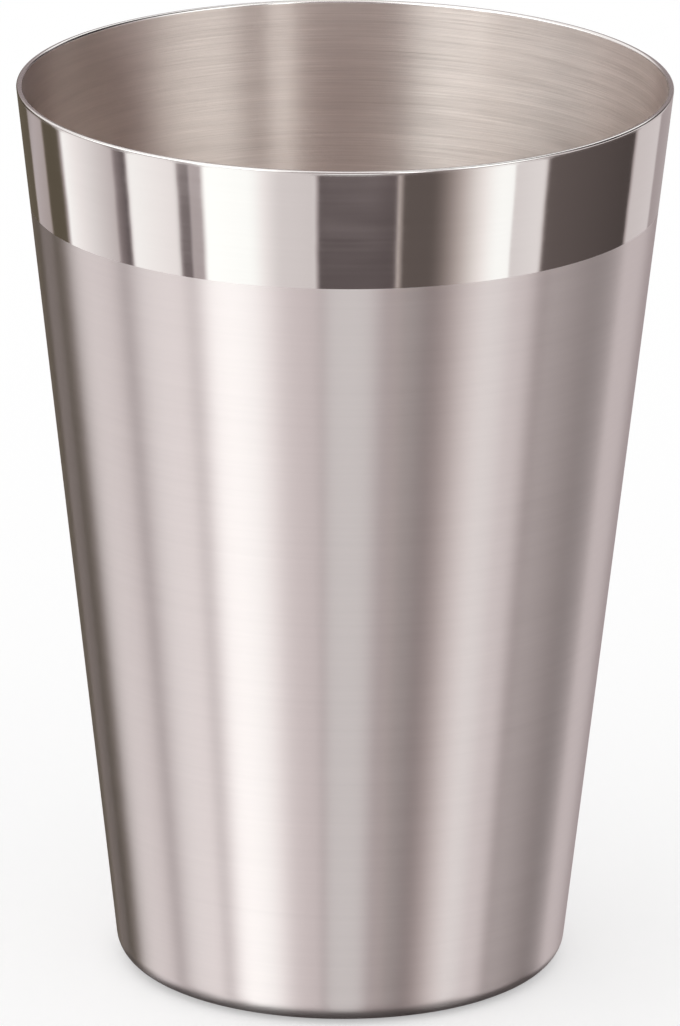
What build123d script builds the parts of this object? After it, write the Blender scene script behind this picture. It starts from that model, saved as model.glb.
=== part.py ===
from build123d import *
from math import radians, tan
import os

# A tapered tumbler, deep drawn from one blank of stainless sheet.
# Its axis is Z and it stands on Z = 0. Lengths are in millimetres, angles in degrees.

HEIGHT = 123.0  # from the table to the top of the rim
RIM_DIAMETER = 88.0  # outside, where the wall's straight line meets the top of the rim
BASE_DIAMETER = 60.6  # outside, where the same line would meet the table
SHEET = 0.8  # one thickness in wall and base
PUNCH_NOSE = 2.7  # inside radius of the bend between base and wall
POLISHED_BAND = 16.3  # height of the mirror-polished band, outside, down from the rim
RIM_BREAK = 0.2  # bevel that buffing leaves on both edges of the trimmed rim
FOOT_WIDTH = 4.0  # flat ring that the cup stands on
PANEL_RISE = 1.5  # how far the base panel is pressed up inside that ring
STEP_SLOPE = 45.0  # slope of the step between ring and panel
STEP_BEND = 0.8  # inside radius of the two bends of that step


def setback(radius, turn):
    """Length that a bend of this radius and turn takes from the straight on each side of its corner."""
    return radius * tan(radians(turn) / 2)


# The outside of the wall is one straight line through both diameters
wall_foot = Vector(BASE_DIAMETER / 2, 0)
wall_rim = Vector(RIM_DIAMETER / 2, HEIGHT)
wall_way = (wall_rim - wall_foot).normalized()
wall_turn = wall_way.get_angle(Vector(1, 0))

# The polished band ends at a line round the wall, where the satin begins
band_edge = wall_rim - wall_way * (POLISHED_BAND / wall_way.Y)

# A bend's outer radius is one sheet larger than its inner radius, so the thickness stays even
wall_bend = PUNCH_NOSE + SHEET
step_bend = STEP_BEND + SHEET

# The foot ring lies between the wall's bend and the step, and the panel rises inside it
foot_outer = wall_foot.X - setback(wall_bend, wall_turn)
step_foot = Vector(foot_outer - FOOT_WIDTH - setback(step_bend, STEP_SLOPE), 0)
step_top = step_foot + Vector(-PANEL_RISE / tan(radians(STEP_SLOPE)), PANEL_RISE)
panel_centre = Vector(0, PANEL_RISE)
outside = FilletPolyline(
    panel_centre,
    step_top,
    step_foot,
    wall_foot,
    band_edge,
    wall_rim,
    radius=[STEP_BEND, step_bend, wall_bend, 0],
)

# The inside lies one sheet from the outside, so each corner moves up by one sheet and along to
# where the moved lines meet. The rim is trimmed level.
step_shift = Vector(setback(SHEET, STEP_SLOPE), SHEET)
wall_shift = Vector(-setback(SHEET, wall_turn), SHEET)
inside = FilletPolyline(
    panel_centre + Vector(0, SHEET),
    step_top + step_shift,
    step_foot + step_shift,
    wall_foot + wall_shift,
    wall_rim - Vector(SHEET / wall_way.Y, 0),
    radius=[step_bend, STEP_BEND, PUNCH_NOSE],
)

on_axis = Line(outside @ 0, inside @ 0)
rim = Line(outside @ 1, inside @ 1)
trimmed = make_face([on_axis, outside, rim, inside])
rim_corners = trimmed.vertices().sort_by(Axis.Y)[-2:]
section = chamfer(rim_corners, RIM_BREAK)

# Unmerged faces keep the band's line on the wall
cup = revolve(Plane.XZ * section, Axis.Z, clean=False)
cup.label = "cup"
print("cup", cup.bounding_box().size, "volume", round(cup.volume, 1))

os.makedirs("parts", exist_ok=True)
export_step(cup, "parts/cup.step")
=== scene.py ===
# %% [markdown]
# # A deep drawn steel cup
# The object is a plain tapered tumbler. A press draws it from one round blank of stainless sheet, the
# rim is trimmed level, and the outside gets two finishes: a mirror-polished band below the rim and a
# satin that is brushed round the rest. We load the solid model first. It fixes the size and the place
# of everything that follows.

# %% Load the solid model
import math

import bpy
from mathutils import Euler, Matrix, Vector


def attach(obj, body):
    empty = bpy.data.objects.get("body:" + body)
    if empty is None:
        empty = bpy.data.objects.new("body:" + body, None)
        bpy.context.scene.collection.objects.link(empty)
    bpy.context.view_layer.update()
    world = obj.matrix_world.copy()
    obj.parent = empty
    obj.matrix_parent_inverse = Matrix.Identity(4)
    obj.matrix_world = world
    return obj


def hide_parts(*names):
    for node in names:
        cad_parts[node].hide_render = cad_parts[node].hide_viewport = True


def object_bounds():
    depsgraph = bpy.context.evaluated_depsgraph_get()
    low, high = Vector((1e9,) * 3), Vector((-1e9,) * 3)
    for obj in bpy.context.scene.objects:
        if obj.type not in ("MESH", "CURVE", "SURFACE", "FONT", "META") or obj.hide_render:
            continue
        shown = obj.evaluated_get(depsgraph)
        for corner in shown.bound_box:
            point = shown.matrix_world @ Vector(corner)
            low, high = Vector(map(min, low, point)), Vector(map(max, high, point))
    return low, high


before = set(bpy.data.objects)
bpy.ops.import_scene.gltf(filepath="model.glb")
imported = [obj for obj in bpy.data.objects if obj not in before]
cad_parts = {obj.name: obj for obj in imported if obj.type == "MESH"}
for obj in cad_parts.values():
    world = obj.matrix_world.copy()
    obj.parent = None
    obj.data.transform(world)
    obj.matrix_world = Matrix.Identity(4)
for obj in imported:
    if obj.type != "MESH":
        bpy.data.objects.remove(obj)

MM = 0.001
cad_low, cad_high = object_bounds()
print("solid model, mm:", [round(side / MM, 2) for side in cad_high - cad_low])

# %% [markdown]
# ## The section of the sheet
# Everything round on this cup comes from one line: the half section of the sheet. It runs from the
# middle of the base inside, out to the wall, up, over the rim, down the outside and back under the
# base. We could reuse the solid's own triangles, but a mirror shows every facet, so we turn a finer
# skin of the same form. The wall comes first. Its outside is one straight line from the table to just
# below the rim's bevel, where the solid is widest, so height and width are read from the solid.

# %% The wall's line
cup_height = cad_high.z
widest = cad_high.x
base_radius = 30.3 * MM
rim_break = 0.2 * MM

bevel_low = cup_height - rim_break
wall_foot = Vector((base_radius, 0))
wall_way = (Vector((widest, bevel_low)) - wall_foot).normalized()
wall_turn = math.atan2(wall_way.y, wall_way.x)
print("the wall leans out by", round(90 - math.degrees(wall_turn), 2), "degrees")

# %% [markdown]
# The base is bent from the same sheet: a round bend at the foot of the wall, a flat ring that the cup
# stands on, and a panel that is pressed up inside that ring. A bend takes a little of the straight on
# each side of its corner, and this setback tells us where the foot ring ends and the panel's step
# begins. The inside could be drawn by itself, but then a change of size would leave the sheet uneven.
# So each of its corners is the outside's corner, moved in by one sheet.

# %% Corners of the section
sheet = 0.8 * MM
punch_nose = 2.7 * MM
foot_width = 4.0 * MM
panel_rise = 1.5 * MM
step_slope = math.radians(45)
step_bend = 0.8 * MM


def setback(radius, turn):
    """Length that a bend takes from the straight on each side of its corner."""
    return radius * math.tan(turn / 2)


def on_wall(height, start):
    """The point at this height on a line through start that runs along the wall."""
    return start + wall_way * ((height - start.y) / wall_way.y)


foot_edge = base_radius - setback(punch_nose + sheet, wall_turn) - foot_width
step_foot = Vector((foot_edge - setback(step_bend + sheet, step_slope), 0))
step_top = step_foot + Vector((-panel_rise / math.tan(step_slope), panel_rise))
panel_under = Vector((0, panel_rise))

step_shift = Vector((setback(sheet, step_slope), sheet))
wall_foot_inside = wall_foot + Vector((-setback(sheet, wall_turn), sheet))
panel_inside = panel_under + Vector((0, sheet))

rim_outer = on_wall(cup_height, wall_foot)
rim_inner = on_wall(cup_height, wall_foot_inside)
print("rim from", round(rim_inner.x / MM, 2), "to", round(rim_outer.x / MM, 2), "mm from the axis")

# %% [markdown]
# Straight, bend, straight is the sheet-metal worker's basic line. Blender's bevel could round a corner
# for us, but it leaves the normals to be guessed from the faces. These two helpers return points
# together with their exact normals. Long straights are divided so that the faces stay short, and each
# bend gets enough points to look round up close.

# %% A straight and a bend
LONGEST_FACE = 5 * MM
BEND_STEPS = 10


def left_of(way):
    return Vector((-way.y, way.x))


def straight(start, end):
    way = (end - start).normalized()
    pieces = max(1, math.ceil((end - start).length / LONGEST_FACE))
    return [(start.lerp(end, i / pieces), left_of(way)) for i in range(pieces + 1)]


def bend(corner, way_in, way_out, radius):
    turn = math.atan2(way_in.x * way_out.y - way_in.y * way_out.x, way_in.dot(way_out))
    side = math.copysign(1, turn)
    first = corner - way_in * setback(radius, abs(turn))
    centre = first + left_of(way_in) * side * radius
    points = []
    for i in range(BEND_STEPS + 1):
        angle = math.atan2(way_in.y, way_in.x) + turn * i / BEND_STEPS
        normal = left_of(Vector((math.cos(angle), math.sin(angle))))
        points.append((centre - normal * side * radius, normal))
    return points


print("the outside of the wall takes", len(straight(rim_outer, wall_foot)), "points as one straight")

# %% [markdown]
# The whole section is a chain of those two: it walks from corner to corner, and each corner but the
# first and the last is rounded by its own radius.

# %% A line with rounded corners
def rounded_line(corners, radii):
    line = []
    start = corners[0]
    for before, corner, after, radius in zip(corners, corners[1:], corners[2:], radii):
        arc = bend(corner, (corner - before).normalized(), (after - corner).normalized(), radius)
        line += straight(start, arc[0][0])[:-1] + arc[:-1]
        start = arc[-1][0]
    return line + straight(start, corners[-1])


foot_ring_end = Vector((foot_edge, 0))
underside = rounded_line(
    [foot_ring_end, step_foot, step_top, panel_under], [step_bend + sheet, step_bend]
)
print("underside from", round(foot_edge / MM, 2), "mm to the axis in", len(underside), "points")

# %% [markdown]
# Each finish on the cup is one stretch of the section, and neighbours share their end point. Keeping
# the stretches apart by finish makes it easy to give each its own material later. The rim is trimmed
# level, with a small bevel on both edges. Buffing rounds these bevels, and the rounding is what draws
# the fine bright line along the rim, so each of the rim's corners gets a small radius here. The buffed
# stretch reaches a little way down both sides of the wall.

# %% The stretches of the section
polished_band = 16.3 * MM
rim_softness = 0.3 * MM
rim_reach_outside = 0.35 * MM
rim_reach_inside = 0.12 * MM

inside_end = on_wall(bevel_low - rim_reach_inside, wall_foot_inside)
outside_start = on_wall(bevel_low - rim_reach_outside, wall_foot)
band_end = on_wall(cup_height - polished_band, wall_foot)
bevel_across = Vector((rim_break, 0))
bevel_down = wall_way * rim_break

stretches = {
    "satin inside": rounded_line(
        [panel_inside, step_top + step_shift, step_foot + step_shift, wall_foot_inside, inside_end],
        [step_bend + sheet, step_bend, punch_nose],
    ),
    "buffed rim": rounded_line(
        [inside_end, rim_inner - bevel_down, rim_inner + bevel_across,
         rim_outer - bevel_across, rim_outer - bevel_down, outside_start],
        [rim_softness] * 4,
    ),
    "mirror band": straight(outside_start, band_end),
    "satin outside": rounded_line([band_end, wall_foot, foot_ring_end], [punch_nose + sheet]),
    "plain base": underside,
}
for finish, points in stretches.items():
    print(finish, "has", len(points), "rings")

# %% [markdown]
# ## Turning the section
# A spin or a screw modifier would turn the line as well, but then Blender works out the normals from
# the faces, and the highlight on the wall bends where the wall meets a round. Here the rings are made
# one by one, so every point keeps the exact normal of the form. A point on the axis makes no ring. It
# stays a single point.

# %% Turn the rings
AROUND = 256
ON_AXIS = 1e-6 * MM


def turned(line):
    """For each point of the line, its ring of places and normals round the axis."""
    rings = []
    for place, normal in line:
        if place.x < ON_AXIS:
            rings.append([((0, 0, place.y), (0, 0, normal.y))])
            continue
        ring = []
        for i in range(AROUND):
            c, s = math.cos(math.tau * i / AROUND), math.sin(math.tau * i / AROUND)
            ring.append(((place.x * c, place.x * s, place.y), (normal.x * c, normal.x * s, normal.y)))
        rings.append(ring)
    return rings


whole_line, strip_finish = [], []
for finish, points in stretches.items():
    whole_line += points if not whole_line else points[1:]
    strip_finish += [finish] * (len(points) - 1)
rings = turned(whole_line)
print("section turned to", len(rings), "rings, most of", AROUND, "points")

# %% [markdown]
# Two neighbouring rings make a strip of four-sided faces, and a strip that ends on the axis is a fan
# of triangles. Each strip remembers its finish. The same loop lays out a flat map: once round the cup
# from left to right, and from the section's start to its end from bottom to top. Blender could unwrap
# the skin by itself, but in this map the brushing runs along the rows, so a baked finish stays sharp.

# %% Join the rings
lengths = [(b[0] - a[0]).length for a, b in zip(whole_line, whole_line[1:])]
run = [sum(lengths[:i]) / sum(lengths) for i in range(len(whole_line))]

places, normals, first_of_ring = [], [], []
for ring in rings:
    first_of_ring.append(len(places))
    places += [place for place, normal in ring]
    normals += [normal for place, normal in ring]


def ring_point(ring, i):
    """Vertex number and map place of step i round a ring, where a ring of one point is the axis."""
    lone = len(rings[ring]) == 1
    vertex = first_of_ring[ring] + (0 if lone else i % AROUND)
    return vertex, ((i + 0.5 * lone) / AROUND, run[ring])


faces, face_finish, map_places = [], [], []
for ring, finish in enumerate(strip_finish):
    for i in range(AROUND):
        steps = [(ring, i), (ring + 1, i), (ring + 1, i + 1), (ring, i + 1)]
        loop = [ring_point(*step) for step in steps]
        if len(rings[ring]) == 1:
            loop.pop()
        if len(rings[ring + 1]) == 1:
            loop.pop(2)
        faces.append([vertex for vertex, place in loop])
        map_places += [place for vertex, place in loop]
        face_finish.append(finish)
print("section", round(sum(lengths) / MM, 1), "mm long, joined to", len(faces), "faces")

# %% [markdown]
# The lists become one mesh. The exact normals go in as custom normals, which a later change to the
# mesh would lose, so the mesh is made in one go and isn't touched again. It stands for the solid cup:
# it rides on the same body and hides the solid.

# %% Make the skin and put it in the solid's place
MAP_NAME = "OFBake"

skin = bpy.data.meshes.new("cup_skin")
skin.from_pydata(places, [], faces)
skin.uv_layers.new(name=MAP_NAME)
skin.uv_layers[MAP_NAME].data.foreach_set("uv", [x for place in map_places for x in place])
skin.shade_smooth()
skin.normals_split_custom_set_from_vertices(normals)
skin.update()
cup_skin = bpy.data.objects.new("cup_skin", skin)
bpy.context.scene.collection.objects.link(cup_skin)

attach(cup_skin, "root")
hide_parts("cup")
print("skin of", len(skin.polygons), "faces, valid:", not skin.validate(verbose=False))

# %% [markdown]
# ## Steel
# Steel has no colour of its own beyond a slight warmth, so its look is all in how it reflects. We use
# one principled shader with full metal for every finish and change three things: roughness, how far
# the brushing stretches a highlight, and the depth of its lines. Brushing runs round the cup. Its
# grooves spread a reflection across themselves, so highlights stretch up and down the wall but stay
# narrow sideways. The shader calls that anisotropy, and a quarter turn makes the stretch run along
# the wall. The first helper sets a socket or links it, which keeps the node trees below short.

# %% Helpers for node trees and for steel
QUARTER_TURN = 0.25


def feed(tree, socket, value):
    """Links the socket to another one, or sets it if the value is a plain one."""
    if isinstance(value, bpy.types.NodeSocket):
        tree.links.new(value, socket)
    else:
        socket.default_value = value


def add(tree, kind, operation=None, **inputs):
    """Adds a node, sets its operation if it has one and feeds its inputs by name."""
    made = tree.nodes.new("ShaderNode" + kind)
    if operation:
        made.operation = operation
    for name, value in inputs.items():
        feed(tree, made.inputs[name.replace("_", " ")], value)
    return made


def maths(tree, operation, *values):
    made = add(tree, "Math", operation)
    for socket, value in zip(made.inputs, values):
        feed(tree, socket, value)
    return made.outputs[0]


def steel(name, anisotropy):
    material = bpy.data.materials.new(name)
    material.use_nodes = True
    shader = material.node_tree.nodes["Principled BSDF"]
    shader.inputs["Metallic"].default_value = 1
    shader.inputs["Anisotropic"].default_value = anisotropy
    shader.inputs["Anisotropic Rotation"].default_value = QUARTER_TURN
    return material, material.node_tree, shader


print("highlights are turned by", 360 * QUARTER_TURN, "degrees, to run along the wall")

# %% [markdown]
# Brush lines need a pattern that is long round the cup and very short across it. Noise stretched along
# an angle would show a seam where the angle starts again. Instead we stretch it in space: across the
# lines we count radius plus height, which grows steadily along the section on the base and on the wall
# alike, and along the lines the noise is simply coarse.

# %% Noise that follows the brushing
NOISE_GRAIN = 0.55


def brush_noise(tree, length, pitch, detail):
    """Noise in streaks about this long round the cup and this far apart across it."""
    position = add(tree, "TexCoord").outputs["Object"]
    split = add(tree, "SeparateXYZ", Vector=position)
    flat = add(tree, "CombineXYZ", X=split.outputs["X"], Y=split.outputs["Y"])
    radius = add(tree, "VectorMath", "LENGTH", Vector=flat.outputs[0])
    across = maths(tree, "ADD", radius.outputs["Value"], split.outputs["Z"])
    streaks = add(
        tree,
        "CombineXYZ",
        X=maths(tree, "DIVIDE", split.outputs["X"], length),
        Y=maths(tree, "DIVIDE", split.outputs["Y"], length),
        Z=maths(tree, "DIVIDE", across, pitch),
    )
    noise = add(
        tree, "TexNoise", Vector=streaks.outputs[0], Scale=1, Detail=detail, Roughness=NOISE_GRAIN
    )
    return noise.outputs["Fac"]


print("across the brushing, the rim lies at", round((rim_outer.x + cup_height) / MM, 1), "mm")

# %% [markdown]
# A brushed face shows its lines in two ways. Up close each groove tilts the light, and from further
# off the grooves gather in streaks that shine a little more or less. The grooves could be modelled,
# but they are a few hundredths of a millimetre deep at most, so the fine lines are bump. The broader
# streaks change roughness and shade.

# %% Brushing
LINE_DETAIL = 4
STREAK_DETAIL = 3
LINES_TO_A_STREAK = 4


def between(tree, value, middle, spread):
    ranged = add(tree, "MapRange", Value=value, To_Min=middle - spread, To_Max=middle + spread)
    return ranged.outputs["Result"]


def brushed(tree, shader, colour, roughness, spread, length, pitch, depth, shading):
    """Fine lines as bump, and broader streaks in roughness and shade. Returns the bumped normal."""
    lines = brush_noise(tree, length, pitch, LINE_DETAIL)
    streaks = brush_noise(tree, length, pitch * LINES_TO_A_STREAK, STREAK_DETAIL)
    bump = add(tree, "Bump", Height=lines, Strength=1, Distance=depth)
    shade = between(tree, streaks, 1, shading)
    tint = add(tree, "VectorMath", "SCALE", Vector=colour, Scale=shade)
    tree.links.new(between(tree, streaks, roughness, spread), shader.inputs["Roughness"])
    tree.links.new(bump.outputs[0], shader.inputs["Normal"])
    tree.links.new(tint.outputs[0], shader.inputs["Base Color"])
    return bump.outputs[0]


print("a streak is as wide as", LINES_TO_A_STREAK, "brush lines")

# %% [markdown]
# ### Satin outside
# The wall below the band is brushed with a fine belt while the cup turns, which leaves an even satin.
# A plain rough metal would give round, blurred highlights. With full anisotropy they become the long
# upright stripes that such a cup shows, so the lines themselves can stay very shallow.

# %% Satin outside
SATIN_STEEL = (0.708, 0.655, 0.650)


def satin_outside():
    material, tree, shader = steel("satin_outside", anisotropy=1.0)
    brushed(
        tree, shader, SATIN_STEEL, roughness=0.29, spread=0.02,
        length=45 * MM, pitch=0.22 * MM, depth=0.004 * MM, shading=0.04,
    )
    return material


finishes = {"satin outside": satin_outside()}
print("made", finishes["satin outside"].name)

# %% [markdown]
# ### Satin inside
# The inside is brushed with a coarser belt on a spindle, so its streaks are shorter and show. Its
# colour is the steel's with painted warmth added, which stands for light bounced from wall to wall.
# More depth and a wider spread of roughness give those streaks, with the same helper.

# %% Satin inside
# the steel's colour with painted warmth for the light bounced from wall to wall inside
INSIDE_STEEL_AND_BOUNCE_WARMTH = (0.735, 0.655, 0.618)


def satin_inside():
    material, tree, shader = steel("satin_inside", anisotropy=1.0)
    brushed(
        tree, shader, INSIDE_STEEL_AND_BOUNCE_WARMTH, roughness=0.35, spread=0.06,
        length=17 * MM, pitch=0.30 * MM, depth=0.03 * MM, shading=0.17,
    )
    return material


finishes["satin inside"] = satin_inside()
print("made", finishes["satin inside"].name)

# %% [markdown]
# ### Mirror band
# The band below the rim is buffed until the lines are all but gone. A perfect mirror would look like
# a computer's work. What is left on the real band is the faint unevenness of drawn sheet, which bends
# its reflections a bit, so a second, very broad and shallow bump lies over the last traces of lines.

# %% Mirror band
POLISHED_STEEL = (0.688, 0.662, 0.650)
WAVE_DETAIL = 1


def mirror_band():
    material, tree, shader = steel("mirror_band", anisotropy=0.4)
    polish = brushed(
        tree, shader, POLISHED_STEEL, roughness=0.07, spread=0.03,
        length=60 * MM, pitch=0.20 * MM, depth=0.0002 * MM, shading=0.02,
    )
    waves = brush_noise(tree, length=14 * MM, pitch=7 * MM, detail=WAVE_DETAIL)
    uneven = add(tree, "Bump", Height=waves, Strength=1, Distance=0.02 * MM, Normal=polish)
    tree.links.new(uneven.outputs[0], shader.inputs["Normal"])
    return material


finishes["mirror band"] = mirror_band()
print("made", finishes["mirror band"].name)

# %% [markdown]
# ### Buffed rim and plain base
# The rim's edge is buffed by hand, so it shines but isn't a mirror. The underside keeps the duller
# face that the press leaves. Both could share the satin, but the rim would lose its bright line, and
# the base would look as carefully finished as the wall.

# %% Buffed rim and plain base
def buffed_rim():
    material, tree, shader = steel("buffed_rim", anisotropy=0.4)
    brushed(
        tree, shader, POLISHED_STEEL, roughness=0.16, spread=0.04,
        length=40 * MM, pitch=0.15 * MM, depth=0.0004 * MM, shading=0.03,
    )
    return material


def plain_base():
    material, tree, shader = steel("plain_base", anisotropy=0.5)
    brushed(
        tree, shader, SATIN_STEEL, roughness=0.38, spread=0.08,
        length=30 * MM, pitch=0.5 * MM, depth=0.004 * MM, shading=0.08,
    )
    return material


finishes["buffed rim"] = buffed_rim()
finishes["plain base"] = plain_base()
print("made", finishes["buffed rim"].name, "and", finishes["plain base"].name)

# %% [markdown]
# Every face remembers the finish of its strip, so the finishes can now be handed out. One mesh with
# five materials keeps the cup one piece, as the real one is.

# %% Give the faces their finishes
order = list(stretches)
for finish in order:
    skin.materials.append(finishes[finish])
skin.polygons.foreach_set("material_index", [order.index(finish) for finish in face_finish])
print("finishes:", ", ".join(order))

# %% [markdown]
# ## Floor and white room
# The cup stands on a plain white floor under even white light, so it gets a soft shadow where it
# touches. A sheet that curves up behind the cup would do as well, but here the background is pure
# white, so a flat floor is enough. It lies a hair below the foot ring, so that the two don't share a
# plane. It also stays out of the reflections: we look down on a wall that leans out, so a white floor
# would fill all of the wall's reflection and wipe out its stripes.

# %% Floor
FLOOR_REACH = 12
FLOOR_GAP = 0.02 * MM

floor_mesh = bpy.data.meshes.new("floor")
floor_corners = [(-1, -1, 0), (1, -1, 0), (1, 1, 0), (-1, 1, 0)]
floor_mesh.from_pydata([[x * FLOOR_REACH for x in c] for c in floor_corners], [], [(0, 1, 2, 3)])
floor = bpy.data.objects.new("floor", floor_mesh)
bpy.context.scene.collection.objects.link(floor)
floor.location.z = -FLOOR_GAP
floor.visible_glossy = False
print("floor", 2 * FLOOR_REACH, "m wide")

# %% [markdown]
# White paint alone would come out greyer than the background. The paint gives off a little light as
# well, which brings the floor up to white. The shadow stays, because it comes from the other part, the
# light that has to reach the floor. From below the paint is clear, so that the base can be looked at.

# %% Floor paint
FLOOR_WHITE = 0.6

floor_paint = bpy.data.materials.new("floor_paint")
floor_paint.use_nodes = True
paint = floor_paint.node_tree
paint.nodes.clear()
path = add(paint, "LightPath")
seen = maths(paint, "MAXIMUM", path.outputs["Is Camera Ray"], path.outputs["Is Glossy Ray"])
seen = maths(paint, "MAXIMUM", seen, path.outputs["Is Transmission Ray"])
lift = add(paint, "Emission", Strength=maths(paint, "MULTIPLY", seen, 1 - FLOOR_WHITE))
matt = add(paint, "BsdfDiffuse", Color=(FLOOR_WHITE, FLOOR_WHITE, FLOOR_WHITE, 1))
above = add(paint, "AddShader")
paint.links.new(lift.outputs[0], above.inputs[0])
paint.links.new(matt.outputs[0], above.inputs[1])
either = add(paint, "MixShader", Fac=add(paint, "NewGeometry").outputs["Backfacing"])
paint.links.new(above.outputs[0], either.inputs[1])
paint.links.new(add(paint, "BsdfTransparent").outputs[0], either.inputs[2])
add(paint, "OutputMaterial", Surface=either.outputs[0])
floor_mesh.materials.append(floor_paint)
print("floor paint reflects", FLOOR_WHITE, "of the light and gives off", round(1 - FLOOR_WHITE, 2))

# %% [markdown]
# The room round the cup is plain white and lights it evenly. A lamp would only add a harder shadow. Like
# the floor, the room stays out of the reflections, where the tent that comes next takes its place. Seen
# from below, the steel mirrors the tent's bright windows, and white steel before a white room has no
# outline. So for the camera alone the room turns grey where we look steeply up.

# %% White room
STEEP, STEEPER = math.sin(math.radians(15)), math.sin(math.radians(30))
CEILING_GREY = 0.45

world = bpy.data.worlds.new("white_room")
world.use_nodes = True
room = world.node_tree
way_up = add(room, "SeparateXYZ", Vector=add(room, "TexCoord").outputs["Generated"]).outputs["Z"]
ceiling = add(room, "MapRange", Value=way_up, From_Min=STEEP, From_Max=STEEPER, To_Max=1 - CEILING_GREY)
looked_at = add(room, "LightPath").outputs["Is Camera Ray"]
darkening = maths(room, "MULTIPLY", ceiling.outputs["Result"], looked_at)
room.nodes["Background"].inputs["Color"].default_value = (1, 1, 1, 1)
feed(room, room.nodes["Background"].inputs["Strength"], maths(room, "SUBTRACT", 1, darkening))
world.cycles_visibility.glossy = False
bpy.context.scene.world = world
print("white room, down to", CEILING_GREY, "of its light where we look steeply up")

# %% [markdown]
# ## What the steel reflects
# A polished cup is a picture of the room, so the room is built for it: a round tent of soft light with
# brighter windows, dark cards and flags set up round the cup. Lamps would do for a matt object, but a
# mirror shows their shapes, and it shows the black between them. Each card is given by its bearing,
# counted from the camera to the right, and by its height above or below the level of the cup.

# %% A card in the tent
def ramp(value, edge, width):
    """Rises smoothly from 0 to 1 over this width about the edge."""
    t = min(1, max(0, (value - edge) / width + 0.5))
    return t * t * (3 - 2 * t)


class Card:
    """A sheet in the tent, from one bearing to another and from one height to another, in degrees.

    Its level of light may fade from its left edge to its right edge. Its sides are soft over the width
    soft, given for both or for each, and its top and bottom over the width rise. A card's colour is
    that of the tent's cloth at its level, or goes over to olive by the given share.
    """

    def __init__(
        self, name, left, right, level, fade_to=None, low=-60, high=8, soft=2.0, rise=8.0, olive=0.0
    ):
        self.name = name
        self.left, self.right = left, right
        self.low, self.high = low, high
        self.level = level
        self.fade_to = level if fade_to is None else fade_to
        self.soft = soft if isinstance(soft, tuple) else (soft, soft)
        self.rise = rise
        self.olive = olive

    def cover(self, bearing, height):
        sideways = ramp(bearing, self.left, self.soft[0]) * (1 - ramp(bearing, self.right, self.soft[1]))
        upright = ramp(height, self.low, self.rise) * (1 - ramp(height, self.high, self.rise))
        return sideways * upright

    def level_at(self, bearing):
        along = min(1, max(0, (bearing - self.left) / (self.right - self.left)))
        return self.level + (self.fade_to - self.level) * along


sample = Card("sample", -10, 10, 1.0)
print("a card covers", sample.cover(0, -20), "at its middle and", sample.cover(10, -20), "at its edge")

# %% [markdown]
# The wall leans out and we look down on it, so it mirrors what lies low, some 15 to 35 degrees below
# the level of the cup. The band mirrors a narrow strip of that, and the satin gathers light from far
# above and below the strip. So a card that the band alone should show is a flat strip, and one that
# the satin alone should gather stands above or below it. From the back to the front there are an olive
# flag, windows with two poles between them and the key window, which is the main light and makes the
# broadest stripe.

# %% Cards on the left
left_cards = [
    Card("back left flag", -200, -124, 0.135, olive=1),
    Card("back left dark card", -153, -137, 0.03, low=-34, high=-5, olive=1),
    Card("back left grey", -153, -137, 0.58, low=-20.5, high=-16.5, rise=2),
    Card("back left window", -122, -92, 1.36, fade_to=0.70, high=-9),
    Card("left pole", -92, -85.5, 0.34, fade_to=0.09),
    Card("left window", -85.5, -53, 1.34, fade_to=1.02, low=-62, high=-12),
    Card("left front pole", -63.5, -58, 0.20, low=-38, high=-24, rise=4),
    Card("left front grey", -58, -53, 0.55, low=-38, high=-24, rise=4),
    Card("key window", -53, -22, 1.54, fade_to=1.40, high=-4, soft=(1, 2)),
    Card("key edge, low", -57, -49, 2.25, high=-42, soft=(1, 4)),
    Card("key edge, high", -53, -47, 1.8, low=-16, high=16, soft=(1, 4)),
]
print("on the left:", "; ".join(card.name for card in left_cards))

# %% [markdown]
# In front a dark card and a dark flag stand side by side, and the slit between them draws one thin
# bright line down the band. On the right the flag fades into a window, and a large dark card stands
# before a lighter one that reaches further up and down, so that the satin stays lighter than the band.

# %% Cards in front and on the right
front_and_right_cards = [
    Card("front window", -29.5, -10, 0.95, fade_to=0.86, soft=(14, 2)),
    Card("front sky", -8.5, 14.5, 1.50, soft=(8, 14)),
    Card("front card", -10, 19.7, 0.125, low=-44, high=-24),
    Card("slit", 19.7, 21.4, 0.80, olive=0.3),
    Card("front flag", 20.9, 60, 0.15, low=-44, high=-13, olive=0.3),
    Card("right window", 45.7, 65, 1.42, soft=(29, 2), low=-46, high=-16),
    Card("right grey", 65, 78.5, 0.94, fade_to=1.06, low=-41, high=-20),
    Card("right flag", 78.5, 127, 1.05),
    Card("right dark card", 78.5, 127, 0.16, fade_to=0.09, low=-38, high=-15, olive=0.2),
    Card("back right window", 128, 150, 0.80),
]
print("in front and on the right:", "; ".join(card.name for card in front_and_right_cards))

# %% [markdown]
# The inside of the far wall faces us. Its brushing spreads reflections up and down, so over the near
# rim it gathers what stands high on our side of the cup: two bright windows, a dimmer stretch between
# them and a slit. What stands high behind the cup lights the inside of the near wall and the rim.

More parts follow.
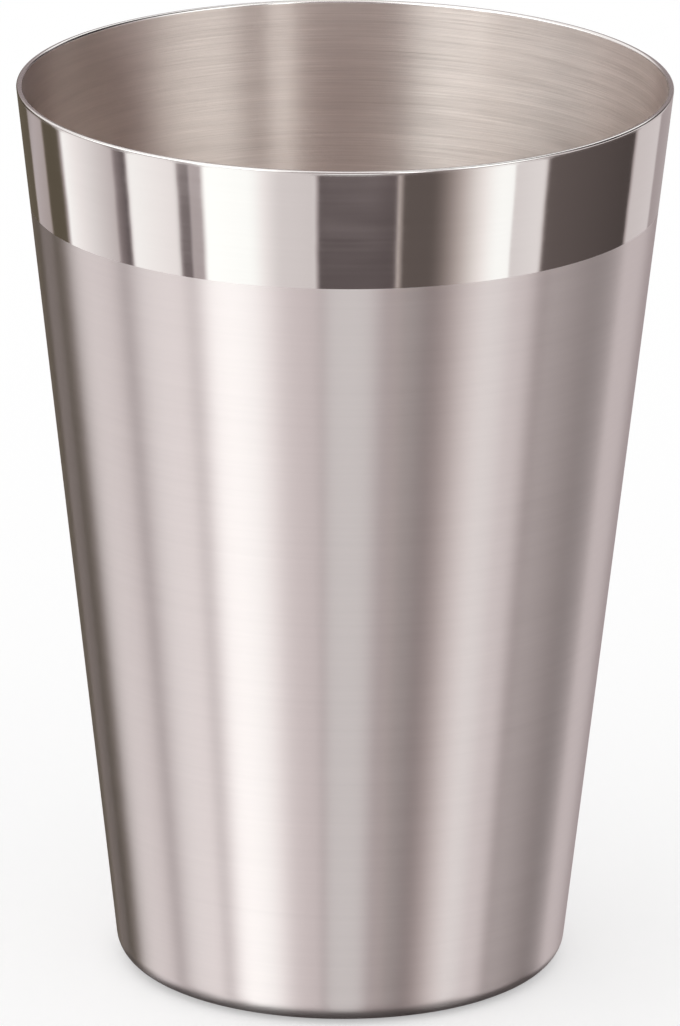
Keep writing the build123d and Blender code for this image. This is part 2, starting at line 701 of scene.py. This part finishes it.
# %% Cards high up and behind
upper_cards = [
    Card("upper left window", -112, -25, 2.05, low=12, high=75, soft=10),
    Card("upper key window", -52, -32, 2.7, low=12, high=75, soft=6),
    Card("upper front flag", -18, 42, 0.45, low=12, high=75, soft=6),
    Card("upper slit", 21, 28.5, 3.2, low=12, high=75, soft=3),
    Card("upper right window", 42, 77, 2.08, low=12, high=75, soft=(8, 34)),
    Card("upper right flag", 96, 156, 0.04, low=4, high=80, soft=20),
    Card("left rim window", -152, -108, 1.30, low=12, high=50, soft=10),
    Card("rear card, left", -200, -160, 0.34, low=4, high=24, soft=10),
    Card("rear card, right", 160, 200, 0.34, low=4, high=24, soft=10),
    Card("rear window, left", -200, -146, 1.30, low=26, high=62, soft=10, rise=6),
    Card("rear window, right", 140, 200, 1.60, low=26, high=62, soft=10, rise=6),
]
print("high up and behind:", "; ".join(card.name for card in upper_cards))

# %% [markdown]
# Each place in the tent starts with the level of the bare cloth at that height, which is lighter
# overhead, and then every card in turn covers it by its own share. Dim cloth looks reddish, light
# cloth nearly neutral, and the strongest windows are white with a touch of green.

# %% The light of the tent
CLOTH_LEVEL = 0.46
ROOF_GAIN = 0.75
ROOF_HEIGHT, ROOF_SOFT = 45, 40
WHITE_LEVEL, WHITE_SOFT = 1.3, 0.4
DARK_TINT = Vector((1.0, 0.79, 0.80))
LIGHT_TINT = Vector((1.0, 0.957, 0.952))
WHITE_TINT = Vector((0.97, 1.0, 0.985))
OLIVE_TINT = Vector((1.0, 0.83, 0.60))

cards = left_cards + front_and_right_cards + upper_cards


def glow(bearing, height):
    level = CLOTH_LEVEL + ROOF_GAIN * ramp(height, ROOF_HEIGHT, ROOF_SOFT)
    olive = 0
    for card in cards:
        share = card.cover(bearing, height)
        level = level * (1 - share) + card.level_at(bearing) * share
        olive = olive * (1 - share) + card.olive * share
    tint = DARK_TINT.lerp(LIGHT_TINT, min(1, level))
    tint = tint.lerp(WHITE_TINT, ramp(level, WHITE_LEVEL, WHITE_SOFT)).lerp(OLIVE_TINT, olive)
    return [level * x for x in tint]


print("light of the key window:", [round(x, 2) for x in glow(-40, -30)])

# %% [markdown]
# The tent is a ball of small faces that carries this light as a colour at each of its points. A
# picture wrapped round the scene would do the same, but this part uses no pictures, and points can be
# worked out from the cards. The ball is there for reflections only: it throws no shadow, lights no
# floor and isn't seen by the camera.

# %% The tent
TENT_RADIUS = 4.0
bearings, heights = range(-180, 181), range(-90, 91, 2)


def only_in_reflections(piece):
    for kind in ("camera", "diffuse", "transmission", "volume_scatter", "shadow"):
        setattr(piece, "visible_" + kind, False)


tent_places, tent_glow = [], []
for height in heights:
    for bearing in bearings:
        b, h = math.radians(bearing), math.radians(height)
        way = Vector((math.sin(b) * math.cos(h), -math.cos(b) * math.cos(h), math.sin(h)))
        tent_places.append(way * TENT_RADIUS)
        tent_glow += glow(bearing, height) + [1]

wide = len(bearings)
row_starts = range(0, wide * (len(heights) - 1), wide)
first_corners = [start + column for start in row_starts for column in range(wide - 1)]
tent_faces = [(first, first + 1, first + wide + 1, first + wide) for first in first_corners]

tent_mesh = bpy.data.meshes.new("light_tent")
tent_mesh.from_pydata(tent_places, [], tent_faces)
tent_mesh.attributes.new("glow", "FLOAT_COLOR", "POINT").data.foreach_set("color", tent_glow)
tent = bpy.data.objects.new("light_tent", tent_mesh)
bpy.context.scene.collection.objects.link(tent)
tent.location.z = cup_height / 2
only_in_reflections(tent)
print("tent of", len(tent_faces), "faces with", len(cards), "cards")

# %% [markdown]
# The tent's material only passes that colour on as light. Cycles would also try to aim at every shining
# face, as it does at lamps. The tent lights nothing but reflections, so that is switched off.

# %% The tent's light
def shining(name, **light):
    """A material that gives off light and does nothing else."""
    material = bpy.data.materials.new(name)
    material.use_nodes = True
    material.node_tree.nodes.clear()
    shine = add(material.node_tree, "Emission", Strength=1, **light)
    add(material.node_tree, "OutputMaterial", Surface=shine.outputs[0])
    return material


tent_light = shining("tent_light")
tent_light.cycles.emission_sampling = "NONE"
cloth = tent_light.node_tree
cloth_colour = add(cloth, "Attribute")
cloth_colour.attribute_name = "glow"
cloth.links.new(cloth_colour.outputs["Color"], cloth.nodes["Emission"].inputs["Color"])
tent_mesh.materials.append(tent_light)
print("made", tent_light.name)

# %% [markdown]
# The bend at the foot looks almost straight down, and there it mirrors the table in the cup's own
# shadow. The floor stays out of the reflections here, so a narrow dark ring round the foot gives the
# bend that dark line back.

# %% The shadow that the foot mirrors
SHADOW_REACH = 1.2 * MM
SHADOW_STEPS = 96
DUSK = (0.05, 0.042, 0.042, 1)

shadow_edges = (foot_edge + foot_width, base_radius + SHADOW_REACH)
turns = [math.tau * i / SHADOW_STEPS for i in range(SHADOW_STEPS)]
shadow_places = [(r * math.cos(t), r * math.sin(t), 0) for t in turns for r in shadow_edges]
count = len(shadow_places)
shadow_faces = [(i, i + 1, (i + 3) % count, (i + 2) % count) for i in range(0, count, 2)]

shadow_mesh = bpy.data.meshes.new("foot_shadow")
shadow_mesh.from_pydata(shadow_places, [], shadow_faces)
foot_shadow = bpy.data.objects.new("foot_shadow", shadow_mesh)
bpy.context.scene.collection.objects.link(foot_shadow)
only_in_reflections(foot_shadow)
shadow_mesh.materials.append(shining("dusk", Color=DUSK))
print("dark ring out to", round(shadow_edges[1] / MM, 1), "mm from the axis")

# %% [markdown]
# ## Camera
# The photograph looks down on the cup from a good way off through a long lens: the sides stay nearly
# straight and the rim opens into a flat oval. By eye such a view is hard to tell from a nearer one
# through a shorter lens. So distance, height, tilt and lens were found by laying a wire model of the
# cup over the photograph's outlines until the rim, the wall and the base agreed.

# %% Camera
CAMERA_BACK = 1.32
CAMERA_UP = 0.4827
CAMERA_TILT = math.radians(17.65)
CAMERA_TURN = math.radians(0.0154)
CAMERA_ROLL = math.radians(0.333)
LENS = 358.8
SENSOR = 36
NEAREST, FURTHEST = 0.05, 50

lens = bpy.data.cameras.new("camera")
lens.lens = LENS
lens.sensor_width = SENSOR
lens.clip_start, lens.clip_end = NEAREST, FURTHEST
camera = bpy.data.objects.new("camera", lens)
bpy.context.scene.collection.objects.link(camera)
camera.location = (0, -CAMERA_BACK, CAMERA_UP)
looking = Euler((math.pi / 2 - CAMERA_TILT, 0, CAMERA_TURN)).to_matrix()
camera.rotation_euler = (looking @ Euler((0, 0, CAMERA_ROLL)).to_matrix()).to_euler()
bpy.context.scene.camera = camera
bpy.context.scene.view_settings.view_transform = "Standard"
print("camera", round(CAMERA_BACK, 2), "m back,", round(CAMERA_UP, 2), "m up")
